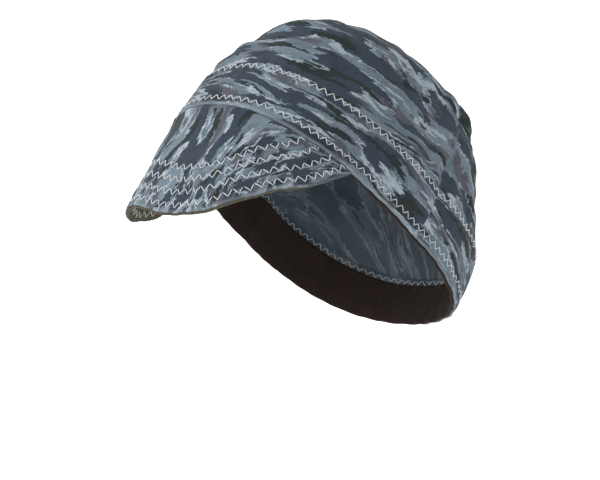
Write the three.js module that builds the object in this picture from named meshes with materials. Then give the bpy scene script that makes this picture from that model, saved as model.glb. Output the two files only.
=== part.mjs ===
// A welder's soft cotton cap: a two-panel crown on a deep band, a short soft peak with its
// own lining, and a dark sweatband. Millimetres, +Z up, front towards -Y, the wearer's left
// towards +X. The origin is the middle of the head opening. The cap keeps the tilt that it has
// on a head, front high and nape low.
import * as THREE from 'three';

// Driving dimensions
const FRONT_REACH = 126.8;       // ear-to-ear seam to the front of the rim
const BACK_REACH = 92.9;         // ear-to-ear seam to the nape
const HALF_WIDTH = 78;           // middle plane to the side of the rim
const SEAM_SETBACK = 15;         // ear-to-ear seam behind the middle of the opening
const BAND_HEIGHT = 32;
const CROWN_HEIGHT = 90;         // top of the band to the top of the crown
const WORN_TILT = 37.5;          // degrees that the rim slopes down towards the nape
const RIM_DIP = 2.5;             // how far the rim hangs lower over the ears
const PEAK_LENGTH = 72;          // rim to the edge of the peak at its middle
const PEAK_CORNER = 62.7;        // degrees from the front to each corner of the peak
const PEAK_BELLY = 0.8;          // how far the peak bows out between rim and edge
const CROWN_WALL = 1.2;
const BAND_WALL = 1.8;
const PEAK_WALL = 1.4;
const LINING_WALL = 1.2;
const LINING_SHOWS = 0.9;        // how far the lining stands past the edge of the peak
const SWEATBAND_WALL = 1.2;
const SWEATBAND_HEIGHT = 27;
const SWEATBAND_SHOWS = 1.2;     // how far the sweatband hangs below the rim
const SEAM_GAP = 0.3;            // clearance between neighbouring pieces
const SEAM_DENT = 1.6;           // depth of the furrow along the ear-to-ear seam
const SEAM_DENT_WIDTH = 9;
const FOLD_DEPTH = 4;            // the deepest soft fold of the crown
const ROUNDNESS = 2.33;          // exponent of the plan outline, 2 is an ellipse

// Steps of the cloth grids
const HALF_STEPS = 40;
const BAND_STEPS = 4;
const CROWN_STEPS = 12;
const PEAK_STEPS = 28;
const PEAK_ROWS = 7;
const SWEATBAND_STEPS = 64;
const SWEATBAND_ROWS = 2;

// Outline of the cap from the rim to the top. band and rise are shares of the two heights,
// front, back and side are shares of the reach of the rim that way.
const PROFILE = [
  { band: 0.0, rise: 0.000, front: 1.000, back: 1.000, side: 1.000 },
  { band: 0.5, rise: 0.000, front: 0.991, back: 1.001, side: 1.008 },
  { band: 1.0, rise: 0.000, front: 0.976, back: 0.965, side: 0.994 },
  { band: 1.0, rise: 0.157, front: 0.961, back: 0.852, side: 0.931 },
  { band: 1.0, rise: 0.387, front: 0.900, back: 0.697, side: 0.882 },
  { band: 1.0, rise: 0.594, front: 0.823, back: 0.562, side: 0.795 },
  { band: 1.0, rise: 0.781, front: 0.636, back: 0.448, side: 0.696 },
  { band: 1.0, rise: 0.921, front: 0.465, back: 0.211, side: 0.415 },
  { band: 1.0, rise: 1.000, front: 0.000, back: 0.000, side: 0.000 },
];
const BAND_TOP = 2;              // the row of the outline where the crown starts
const TOP = PROFILE.length - 1;

// Soft folds and puffs of the crown. turn is in degrees from the front, towards the wearer's
// left; level counts rows of the outline; wide (degrees) and tall (rows) are half spreads;
// deep is a share of FOLD_DEPTH, a puff is above 0.
const FOLDS = [
  { turn: 14, level: 3.9, wide: 26, tall: 0.42, deep: -0.55 },
  { turn: -30, level: 4.3, wide: 24, tall: 0.40, deep: -0.50 },
  { turn: 58, level: 5.2, wide: 22, tall: 0.40, deep: -0.40 },
  { turn: 118, level: 5.6, wide: 20, tall: 0.45, deep: -0.55 },
  { turn: 150, level: 4.6, wide: 22, tall: 0.50, deep: -0.45 },
  { turn: -118, level: 5.2, wide: 24, tall: 0.45, deep: -0.50 },
  { turn: -165, level: 4.9, wide: 20, tall: 0.50, deep: -0.40 },
  { turn: 24, level: 5.2, wide: 30, tall: 0.60, deep: 0.45 },
  { turn: 104, level: 4.6, wide: 14, tall: 0.55, deep: 0.40 },
  { turn: -100, level: 4.3, wide: 16, tall: 0.55, deep: 0.35 },
];

// Edge of the peak from its left corner to its right one, spaced evenly between the corners,
// which sit on the rim. side, forward and drop are shares of HALF_WIDTH, of FRONT_REACH from
// the ear-to-ear seam, and of PEAK_LENGTH.
const PEAK_EDGE = [
  { side: 0.920, forward: 0.648, drop: 0.400 },
  { side: 0.847, forward: 0.753, drop: 0.575 },
  { side: 0.732, forward: 0.823, drop: 0.740 },
  { side: 0.571, forward: 0.867, drop: 0.871 },
  { side: 0.354, forward: 0.886, drop: 0.965 },
  { side: 0.000, forward: 0.897, drop: 0.990 },
  { side: -0.354, forward: 0.905, drop: 0.921 },
  { side: -0.571, forward: 0.858, drop: 0.890 },
  { side: -0.732, forward: 0.770, drop: 0.860 },
  { side: -0.847, forward: 0.677, drop: 0.750 },
  { side: -0.918, forward: 0.569, drop: 0.530 },
];

const radians = THREE.MathUtils.degToRad;
const mix = THREE.MathUtils.lerp;
const ease = THREE.MathUtils.smoothstep;

// Smooth curve through values, one for each whole step of at
function through(values, before, after, at) {
  const last = values.length - 1;
  const place = THREE.MathUtils.clamp(at, 0, last);
  const i = Math.min(Math.floor(place), last - 1);
  const value = (k) => (k < 0 ? before : k > last ? after : values[k]);
  const part = place - i;
  const slopeIn = (value(i + 1) - value(i - 1)) / 2;
  const slopeOut = (value(i + 2) - value(i)) / 2;
  const cube = part ** 3;
  const square = part ** 2;
  return (2 * cube - 3 * square + 1) * value(i) + (cube - 2 * square + part) * slopeIn
    + (3 * square - 2 * cube) * value(i + 1) + (cube - square) * slopeOut;
}

const heights = PROFILE.map((row) => row.band * BAND_HEIGHT + row.rise * CROWN_HEIGHT);

// Height over the rim at a level; past the top the outline comes down again
function heightAt(level) {
  return through(heights, 2 * heights[0] - heights[1], heights[TOP - 1], level);
}

// Share of the rim's reach at a level; past the top it turns negative, so the top is round
function shareAt(column, level) {
  const shares = PROFILE.map((row) => row[column]);
  return through(shares, 2 * shares[0] - shares[1], -shares[TOP - 1], level);
}

// The level whose height is given
function levelOf(height) {
  let low = 0;
  let high = TOP;
  for (let step = 0; step < 40; step += 1) {
    const middle = (low + high) / 2;
    if (heightAt(middle) < height) low = middle;
    else high = middle;
  }
  return (low + high) / 2;
}

// Outside of the cap before its folds, with turn in radians from the front
function smoothSkin(turn, level) {
  const side = Math.sin(turn);
  const front = Math.cos(turn);
  const spread = (Math.abs(side) ** ROUNDNESS + Math.abs(front) ** ROUNDNESS) ** (-1 / ROUNDNESS);
  const reach = front > 0 ? FRONT_REACH * shareAt('front', level) : BACK_REACH * shareAt('back', level);
  return new THREE.Vector3(
    HALF_WIDTH * shareAt('side', level) * spread * side,
    SEAM_SETBACK - reach * spread * front,
    heightAt(level),
  );
}

function outward(turn, level) {
  if (level > TOP - 0.02) return new THREE.Vector3(0, 0, 1);
  const small = 0.01;
  const low = Math.max(level - small, 0);
  const around = smoothSkin(turn + small, level).sub(smoothSkin(turn - small, level));
  const upward = smoothSkin(turn, level + small).sub(smoothSkin(turn, low));
  return around.cross(upward).normalize();
}

// How far the folds and the furrow of the ear-to-ear seam move the cloth out
function foldAt(turn, level, y) {
  let out = -SEAM_DENT * Math.exp(-(((y - SEAM_SETBACK) / SEAM_DENT_WIDTH) ** 2)) * ease(level, 0, BAND_TOP);
  for (const fold of FOLDS) {
    const apart = Math.atan2(Math.sin(turn - radians(fold.turn)), Math.cos(turn - radians(fold.turn)));
    const across = apart / radians(fold.wide);
    const along = (level - fold.level) / fold.tall;
    out += fold.deep * FOLD_DEPTH * Math.exp(-(across ** 2) - along ** 2);
  }
  return out;
}

// A point of the cloth at a depth under the outside, at a level
function skin(turn, level, depth = 0) {
  const point = smoothSkin(turn, level);
  const normal = outward(turn, level);
  return point.addScaledVector(normal, foldAt(turn, level, point.y) - depth);
}

// The same at a height over the rim; below the rim the cloth hangs straight down
function skinAtHeight(turn, height, depth) {
  const point = smoothSkin(turn, levelOf(Math.max(height, 0)));
  const normal = outward(turn, levelOf(Math.max(height, 0)));
  normal.setZ(0).normalize();
  const out = foldAt(turn, levelOf(Math.max(height, 0)), point.y) - depth;
  return point.setZ(height).addScaledVector(normal, out);
}

// Height of the rim's edge round the cap
function rimHeight(turn) {
  return -RIM_DIP * Math.sin(turn) ** 2;
}

// A closed sheet between two grids of points of the same size, outside first. Points that
// fall together are shared, and triangles with no area are left out.
function sheet(outer, inner) {
  const positions = [];
  const known = new Map();
  const triangles = [];
  function corner(point) {
    const key = point.toArray().map((value) => Math.round(value * 1e5)).join(' ');
    if (!known.has(key)) {
      known.set(key, positions.length / 3);
      positions.push(point.x, point.y, point.z);
    }
    return known.get(key);
  }
  function triangle(a, b, c) {
    if (a !== b && b !== c && c !== a) triangles.push(a, b, c);
  }
  function quad(p, q, r, s) {
    const [a, b, c, d] = [p, q, r, s].map(corner);
    triangle(a, b, c);
    triangle(a, c, d);
  }
  const rows = outer.length - 1;
  const columns = outer[0].length - 1;
  for (let j = 0; j < rows; j += 1) {
    for (let i = 0; i < columns; i += 1) {
      quad(outer[j][i], outer[j][i + 1], outer[j + 1][i + 1], outer[j + 1][i]);
      quad(inner[j][i], inner[j + 1][i], inner[j + 1][i + 1], inner[j][i + 1]);
    }
  }
  for (let i = 0; i < columns; i += 1) {
    quad(outer[0][i], inner[0][i], inner[0][i + 1], outer[0][i + 1]);
    quad(outer[rows][i], outer[rows][i + 1], inner[rows][i + 1], inner[rows][i]);
  }
  const round = corner(outer[0][0]) === corner(outer[0][columns]);
  for (let j = 0; j < rows && !round; j += 1) {
    quad(outer[j][0], outer[j + 1][0], inner[j + 1][0], inner[j][0]);
    quad(outer[j][columns], inner[j][columns], inner[j + 1][columns], outer[j + 1][columns]);
  }
  const geometry = new THREE.BufferGeometry();
  geometry.setAttribute('position', new THREE.Float32BufferAttribute(positions, 3));
  geometry.setIndex(triangles);
  geometry.computeVertexNormals();
  return geometry;
}

// A grid of points, a row for each step up and a column for each step across
function grid(rows, columns, pointAt) {
  const points = [];
  for (let j = 0; j <= rows; j += 1) {
    points.push([]);
    for (let i = 0; i <= columns; i += 1) points[j].push(pointAt(i / columns, j / rows));
  }
  return points;
}

// A panel that runs from one end of the ear-to-ear seam to the other, round the front or back
function halfPanel(isFront, rows, wall, pointAt) {
  const start = isFront ? -Math.PI / 2 : Math.PI / 2;
  const seam = SEAM_SETBACK + (isFront ? -SEAM_GAP : SEAM_GAP) / 2;
  function cloth(depth) {
    return grid(rows, HALF_STEPS, (across, up) => {
      const point = pointAt(start + Math.PI * across, up, depth);
      point.y += seam - SEAM_SETBACK;
      if (across === 0 || across === 1) point.setY(seam);
      return point;
    });
  }
  return sheet(cloth(0), cloth(wall));
}

// The foot of the crown is level, because it stands on the band
function crownPanel(isFront) {
  const foot = BAND_HEIGHT + SEAM_GAP / 2;
  return halfPanel(isFront, CROWN_STEPS, CROWN_WALL, (turn, up, depth) => {
    if (up === 0) return skinAtHeight(turn, foot, depth);
    if (up === 1) return new THREE.Vector3(0, SEAM_SETBACK, heights[TOP] + foldAt(0, TOP, SEAM_SETBACK) - depth);
    return skin(turn, mix(levelOf(foot), TOP, up), depth);
  });
}

function bandPanel(isFront) {
  return halfPanel(isFront, BAND_STEPS, BAND_WALL, (turn, up, depth) => (
    skinAtHeight(turn, mix(rimHeight(turn), BAND_HEIGHT - SEAM_GAP / 2, up), depth)
  ));
}

// The sweatband hangs below the rim except over the peak, whose lining meets the rim there
function sweatbandGeometry() {
  function cloth(depth) {
    return grid(SWEATBAND_ROWS, SWEATBAND_STEPS, (across, up) => {
      const turn = across === 1 ? -Math.PI : Math.PI * (2 * across - 1);
      const past = THREE.MathUtils.radToDeg(Math.abs(turn)) - PEAK_CORNER;
      const foot = rimHeight(turn) - SWEATBAND_SHOWS * ease(past, 2, 9);
      return skinAtHeight(turn, mix(foot, SWEATBAND_HEIGHT, up), depth);
    });
  }
  const outside = BAND_WALL + SEAM_GAP;
  return sheet(cloth(outside), cloth(outside + SWEATBAND_WALL));
}

// Where the peak is sewn to the rim, from its left corner (0) to its right one (1)
function peakRoot(across) {
  const turn = radians(PEAK_CORNER) * (1 - 2 * across);
  return skinAtHeight(turn, rimHeight(turn) - SEAM_GAP, 0);
}

const edgePoints = [
  peakRoot(0),
  ...PEAK_EDGE.map((row) => new THREE.Vector3(
    row.side * HALF_WIDTH,
    SEAM_SETBACK - row.forward * FRONT_REACH,
    -row.drop * PEAK_LENGTH,
  )),
  peakRoot(1),
];

function peakEdge(across) {
  const last = edgePoints.length - 1;
  const at = across * last;
  const [x, y, z] = ['x', 'y', 'z'].map((axis) => {
    const values = edgePoints.map((point) => point[axis]);
    return through(values, 2 * values[0] - values[1], 2 * values[last] - values[last - 1], at);
  });
  return new THREE.Vector3(x, y, z);
}

function smoothPeak(across, down) {
  return peakRoot(across).lerp(peakEdge(across), down);
}

// Outward direction of the peak. At the rim it stays level, so the plies start level there.
function peakOutward(across, down) {
  const small = 0.01;
  const place = THREE.MathUtils.clamp(across, small, 1 - small);
  const low = THREE.MathUtils.clamp(down, 0.05, 0.95);
  const sideways = smoothPeak(place + small, low).sub(smoothPeak(place - small, low));
  const downward = smoothPeak(place, low + 0.05).sub(smoothPeak(place, low - 0.05));
  const normal = sideways.cross(downward).normalize();
  const flat = outward(radians(PEAK_CORNER) * (1 - 2 * across), 0).setZ(0).normalize();
  const cornerBlend = ease(Math.min(across, 1 - across), 0, 0.06);
  return flat.lerp(normal, ease(down, 0, 0.2) * cornerBlend).normalize();
}

function peakCloth(across, down, depth) {
  const normal = peakOutward(across, down);
  const belly = PEAK_BELLY * Math.sin(Math.PI * Math.min(down, 1)) * Math.sin(Math.PI * across);
  return smoothPeak(across, down).addScaledVector(normal, belly - depth);
}

// A ply of the peak at a depth under its outside, ending a little past or at the edge
function peakPly(depth, wall, past) {
  function cloth(under) {
    return grid(PEAK_ROWS, PEAK_STEPS, (across, down) => {
      const reach = 1 + (past / PEAK_LENGTH) * Math.sin(Math.PI * across) ** 0.5;
      return peakCloth(across, down * reach, under);
    });
  }
  return sheet(cloth(depth), cloth(depth + wall));
}

// Finishes
const camouflage = { color: 0x64737d, roughness: 0.92, metalness: 0 };
const reverseKhaki = { color: 0x75705c, roughness: 0.95, metalness: 0 };
const darkCotton = { color: 0x2b221d, roughness: 0.95, metalness: 0 };

function piece(name, geometry, finish) {
  const mesh = new THREE.Mesh(geometry, new THREE.MeshStandardMaterial(finish));
  mesh.name = name;
  return mesh;
}

const cap = new THREE.Group();
const worn = new THREE.Group();
worn.rotation.x = -radians(WORN_TILT);
worn.add(
  piece('crown_front', crownPanel(true), camouflage),
  piece('crown_back', crownPanel(false), camouflage),
  piece('band_front', bandPanel(true), camouflage),
  piece('band_back', bandPanel(false), camouflage),
  piece('peak', peakPly(0, PEAK_WALL, 0), camouflage),
  piece('peak_lining', peakPly(PEAK_WALL + SEAM_GAP, LINING_WALL, LINING_SHOWS), reverseKhaki),
  piece('sweatband', sweatbandGeometry(), darkCotton),
);
cap.add(worn);

export default cap;
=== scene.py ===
"""Dresses the welder's cap: cotton camouflage cloth, a khaki peak lining, a dark sweatband and
zigzag stitching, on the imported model. Lengths are metres, +Z up, the front towards -Y and the
wearer's left towards +X. The cap is drawn in the plane of its rim and then tilted as worn."""
import math

import bpy
import numpy as np
from bpy.props import FloatProperty, FloatVectorProperty, IntProperty, PointerProperty
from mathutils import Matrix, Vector


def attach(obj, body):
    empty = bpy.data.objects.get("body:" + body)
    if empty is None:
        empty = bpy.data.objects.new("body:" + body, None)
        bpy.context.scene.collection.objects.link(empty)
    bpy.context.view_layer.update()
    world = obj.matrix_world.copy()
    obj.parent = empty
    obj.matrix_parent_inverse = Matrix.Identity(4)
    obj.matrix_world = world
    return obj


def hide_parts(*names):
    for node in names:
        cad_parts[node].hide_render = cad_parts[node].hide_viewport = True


bl_info = {
    "name": "Welding Cap",
    "version": (1, 0, 0),
    "blender": (4, 5, 0),
    "location": "3D View > Sidebar > Cap",
    "description": "Soft camouflage welder's cap with stitched band and peak",
    "category": "Add Mesh",
}

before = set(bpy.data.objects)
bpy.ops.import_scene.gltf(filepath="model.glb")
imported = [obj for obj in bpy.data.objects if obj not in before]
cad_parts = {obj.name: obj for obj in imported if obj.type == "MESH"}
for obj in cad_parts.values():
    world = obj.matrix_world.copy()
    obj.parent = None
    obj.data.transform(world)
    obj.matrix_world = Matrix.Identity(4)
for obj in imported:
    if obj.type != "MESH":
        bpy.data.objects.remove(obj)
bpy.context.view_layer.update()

# Outline of the cap from the rim to the top: shares of the band's height and of the crown's
# height, then of the reach of the rim to the front, to the back and to the side
OUTLINE = np.array([
    (0.0, 0.000, 1.000, 1.000, 1.000),
    (0.5, 0.000, 0.991, 1.001, 1.008),
    (1.0, 0.000, 0.976, 0.965, 0.994),
    (1.0, 0.157, 0.961, 0.852, 0.931),
    (1.0, 0.387, 0.900, 0.697, 0.882),
    (1.0, 0.594, 0.823, 0.562, 0.795),
    (1.0, 0.781, 0.636, 0.448, 0.696),
    (1.0, 0.921, 0.465, 0.211, 0.415),
    (1.0, 1.000, 0.000, 0.000, 0.000),
])
# Columns of the outline with the reaches, and its rows at the top of the crown and of the band
FRONT, BACK, SIDE = 2, 3, 4
TOP = len(OUTLINE) - 1
BAND_TOP = 2
# About how high one row of the crown is, and how far the band lies from the middle
ROW_HEIGHT = 0.018
MEAN_RADIUS = 0.095

# Soft folds of the crown: turn (degrees from the front, towards the wearer's left), level (row
# of the outline), half spreads in degrees and rows, and depth as a share of the fold depth
FOLDS = [
    (14, 3.9, 26, 0.42, -0.55),
    (-30, 4.3, 24, 0.40, -0.50),
    (58, 5.2, 22, 0.40, -0.40),
    (118, 5.6, 20, 0.45, -0.55),
    (150, 4.6, 22, 0.50, -0.45),
    (-118, 5.2, 24, 0.45, -0.50),
    (-165, 4.9, 20, 0.50, -0.40),
    (24, 5.2, 30, 0.60, 0.45),
    (104, 4.6, 14, 0.55, 0.40),
    (-100, 4.3, 16, 0.55, 0.35),
]

# Slighter folds and puffs that only the cloth shows, in the same terms
CREASES = [
    (90, 5.9, 16, 0.90, 0.55),
    (135, 4.1, 22, 0.50, 0.45),
    (71, 6.4, 12, 0.45, -0.35),
    (97, 6.2, 5, 0.50, 0.22),
    (109, 6.1, 9, 0.35, -0.35),
    (117, 4.6, 12, 0.42, -0.45),
    (36, 3.3, 12, 0.30, -0.28),
    (52, 3.9, 16, 0.26, 0.30),
    (66, 4.5, 14, 0.26, -0.34),
    (76, 3.6, 10, 0.40, 0.26),
    (8, 4.7, 22, 0.24, 0.24),
    (-20, 2.4, 22, 0.30, -0.42),
    (-24, 3.5, 20, 0.42, 0.45),
    (-16, 4.65, 12, 0.22, -0.30),
    (-52, 4.0, 16, 0.26, 0.28),
    (-70, 4.9, 14, 0.26, -0.30),
    (170, 3.6, 16, 0.30, -0.28),
    (-145, 4.0, 18, 0.30, 0.30),
]

# Small tucks of the crown: both ends as turn and level, and the height of the step as a share
TUCKS = [
    ((92.5, 3.50), (114.0, 3.86), 1.0),
    ((88.0, 5.60), (72.0, 4.75), 0.5),
    ((-92.0, 3.70), (-112.0, 4.10), 0.9),
    ((-88.0, 5.30), (-70.0, 4.60), 0.6),
]

# Edge of the peak from its left corner to its right one, between the corners: shares of the
# half width, of the front reach from the ear-to-ear seam, and of the peak's length
PEAK_EDGE = np.array([
    (0.920, 0.648, 0.400),
    (0.847, 0.753, 0.575),
    (0.732, 0.823, 0.740),
    (0.571, 0.867, 0.871),
    (0.354, 0.886, 0.965),
    (0.000, 0.897, 0.990),
    (-0.354, 0.905, 0.921),
    (-0.571, 0.858, 0.890),
    (-0.732, 0.770, 0.860),
    (-0.847, 0.677, 0.750),
    (-0.918, 0.569, 0.530),
])
# Share of the peak's width that its cloth keeps clear of at each corner
PEAK_INSET = 0.004


def length(name, text, value):
    return FloatProperty(name=name, description=text, default=value, min=0.0, unit="LENGTH")


def angle(name, text, degrees):
    return FloatProperty(name=name, description=text, default=math.radians(degrees), subtype="ANGLE")


def number(name, text, value):
    return FloatProperty(name=name, description=text, default=value)


def colour(name, text, value):
    return FloatVectorProperty(
        name=name, description=text, default=value, size=3, min=0.0, max=1.0, subtype="COLOR_GAMMA",
    )


class CapShape(bpy.types.PropertyGroup):
    """Sizes of the cap, the same as those of the model in the frame."""
    front_reach: length("Front reach", "Ear-to-ear seam to the front of the rim", 0.1268)
    back_reach: length("Back reach", "Ear-to-ear seam to the nape", 0.0929)
    half_width: length("Half width", "Middle plane to the side of the rim", 0.078)
    seam_setback: length("Seam setback", "Ear-to-ear seam behind the middle of the opening", 0.015)
    band_height: length("Band height", "Height of the band over the rim", 0.032)
    crown_height: length("Crown height", "Top of the band to the top of the crown", 0.090)
    worn_tilt: angle("Worn tilt", "Slope of the rim down to the nape", 37.5)
    roundness: number("Roundness", "Exponent of the plan outline, 2 is an ellipse", 2.33)
    rim_dip: length("Rim dip", "How far the rim hangs lower over the ears", 0.0025)
    peak_length: length("Peak length", "Rim to the edge of the peak at its middle", 0.072)
    peak_corner: angle("Peak corner", "From the front to each corner of the peak", 62.7)
    peak_belly: length("Peak belly", "How far the peak bows out", 0.0008)
    crown_wall: length("Crown wall", "Thickness of the crown", 0.0012)
    band_wall: length("Band wall", "Thickness of the band", 0.0018)
    peak_wall: length("Peak wall", "Thickness of the outer cloth of the peak", 0.0014)
    lining_wall: length("Lining wall", "Thickness of the peak's lining", 0.0012)
    lining_shows: length("Lining shows", "How far the lining stands past the edge", 0.0009)
    sweatband_wall: length("Sweatband wall", "Thickness of the sweatband", 0.0012)
    sweatband_height: length("Sweatband height", "Height of the sweatband over the rim", 0.027)
    sweatband_shows: length("Sweatband shows", "How far the sweatband hangs below the rim", 0.0012)
    seam_gap: length("Seam gap", "Clearance between neighbouring pieces", 0.0003)
    seam_dent: length("Seam dent", "Depth of the furrow along the ear-to-ear seam", 0.0016)
    seam_dent_width: length("Seam dent width", "Half spread of that furrow", 0.009)
    fold_depth: length("Fold depth", "The deepest soft fold of the crown", 0.004)


class CapCloth(bpy.types.PropertyGroup):
    """How finely the cloth is drawn, and its creases and colours."""
    step: length("Cloth step", "Distance between the threads of the cloth grid", 0.0014)
    crease: length("Creases", "Depth of the broad creases", 0.0011)
    drawn: length("Drawn folds", "Depth of the long folds that run over the crown", 0.0007)
    pucker: length("Puckers", "Depth of the small gathers beside the seams", 0.00035)
    gather: length("Gathers", "Depth of the gathers where the seam crosses the shoulder", 0.0005)
    hem_roll: length("Hem roll", "How far the folded hem of the band stands out", 0.0006)
    crevice: length("Crevice", "Depth of the line between peak and band", 0.0013)
    seam_line: length("Seam line", "Depth of the fine line along the ear-to-ear seam", 0.0007)
    quilting: length("Quilting", "Depth to which each row of stitches pulls the peak in", 0.00045)
    tuck: length("Tuck", "Height of the small tucks beside the ear-to-ear seam", 0.0010)
    blue_grey: colour("Blue grey", "Ground of the camouflage", (0.340, 0.388, 0.422))
    light_grey: colour("Light grey", "Light streaks of the camouflage", (0.540, 0.580, 0.612))
    slate: colour("Slate", "Dark stripes of the camouflage", (0.182, 0.216, 0.256))
    black_green: colour("Black green", "Darkest stripes of the camouflage", (0.125, 0.158, 0.155))
    brown_grey: colour("Brown grey", "Brownish stripes of the camouflage", (0.275, 0.265, 0.295))
    khaki: colour("Khaki", "Lining of the peak", (0.345, 0.33, 0.268))
    dark_brown: colour("Dark brown", "Sweatband", (0.17, 0.13, 0.11))


class CapStitching(bpy.types.PropertyGroup):
    """Sizes and colour of the zigzag seams."""
    pitch: length("Pitch", "Length of one zigzag of the band", 0.0059)
    height: length("Height", "Width of the band's zigzag rows", 0.0034)
    peak_pitch: length("Peak pitch", "Length of one zigzag of the peak", 0.0066)
    peak_height: length("Peak height", "Width of the peak's zigzag rows", 0.0042)
    radius: length("Thread radius", "Half the thickness of the thread", 0.00025)
    peak_row_gap: length("Peak row gap", "Distance between the rows on the peak", 0.0080)
    peak_rows: IntProperty(name="Peak rows", description="Rows of zigzag on the peak", default=4)
    first_row: length("First row", "Edge of the peak to its first row", 0.0048)
    band_row: length("Band row", "Rim to the lower row of the band", 0.0052)
    thread: colour("Thread", "Sewing thread", (0.82, 0.84, 0.85))


class CapStage(bpy.types.PropertyGroup):
    """Camera and studio round the cap."""
    azimuth: angle("Azimuth", "Camera round the cap", 46.98)
    elevation: angle("Elevation", "Camera above the horizon", -0.88)
    distance: length("Distance", "Camera to the origin", 1.3)
    pixels_per_metre: number("Scale", "Picture points for a metre at the origin", 1608.0)
    origin_x: number("Origin X", "Where the origin lies across the picture", 315.09)
    origin_y: number("Origin Y", "Where the origin lies down the picture", 220.63)
    picture_width: number("Picture width", "Picture points across", 600.0)
    picture_height: number("Picture height", "Picture points down", 480.0)
    floor_drop: length("Floor drop", "Floor below the origin", 0.30)


def through(values, before, after, at):
    """Smooth curve through values, one for each whole step of at."""
    last = len(values) - 1
    every = np.concatenate([[before], values, [after]])
    place = np.clip(at, 0, last)
    i = np.minimum(place.astype(int), last - 1)
    part = place - i
    slope_in = (every[i + 2] - every[i]) / 2
    slope_out = (every[i + 3] - every[i + 1]) / 2
    cube, square = part ** 3, part ** 2
    return (
        (2 * cube - 3 * square + 1) * every[i + 1] + (cube - 2 * square + part) * slope_in
        + (3 * square - 2 * cube) * every[i + 2] + (cube - square) * slope_out
    )


def ease(value, low, high):
    part = np.clip((value - low) / (high - low), 0, 1)
    return part * part * (3 - 2 * part)


def bell(distance, spread):
    """1 at no distance, falling away smoothly."""
    return np.exp(-((distance / spread) ** 2))


def unit(vectors):
    return vectors / np.maximum(np.linalg.norm(vectors, axis=-1, keepdims=True), 1e-12)


def levelled(directions):
    """Directions without their slope."""
    return unit(directions * (1, 1, 0) + np.array([0, 0, 1e-9]))


def degrees_from(turn, direction=0.0):
    """How far turns lie from a direction given in degrees, from -180 to 180 degrees."""
    apart = turn - np.radians(direction)
    return np.degrees(np.arctan2(np.sin(apart), np.cos(apart)))


def waves(points, reach, seed, count=18):
    """A smooth random field about -1 to 1 whose waves are about reach long."""
    draw = np.random.default_rng(seed)
    total = np.zeros(points.shape[:-1])
    for _ in range(count):
        way = unit(draw.normal(size=3)) * 2 * math.pi / (reach * draw.uniform(0.75, 1.5))
        total += np.cos(points @ way + draw.uniform(0, 2 * math.pi))
    return total / math.sqrt(count)


def gathers(along, pitch, points, seed, wander=2.0, reach=0.03):
    """Small ridges, one for each pitch along a seam, that lie a little unevenly."""
    return np.cos(along * 2 * math.pi / pitch + wander * waves(points, reach, seed))


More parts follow.
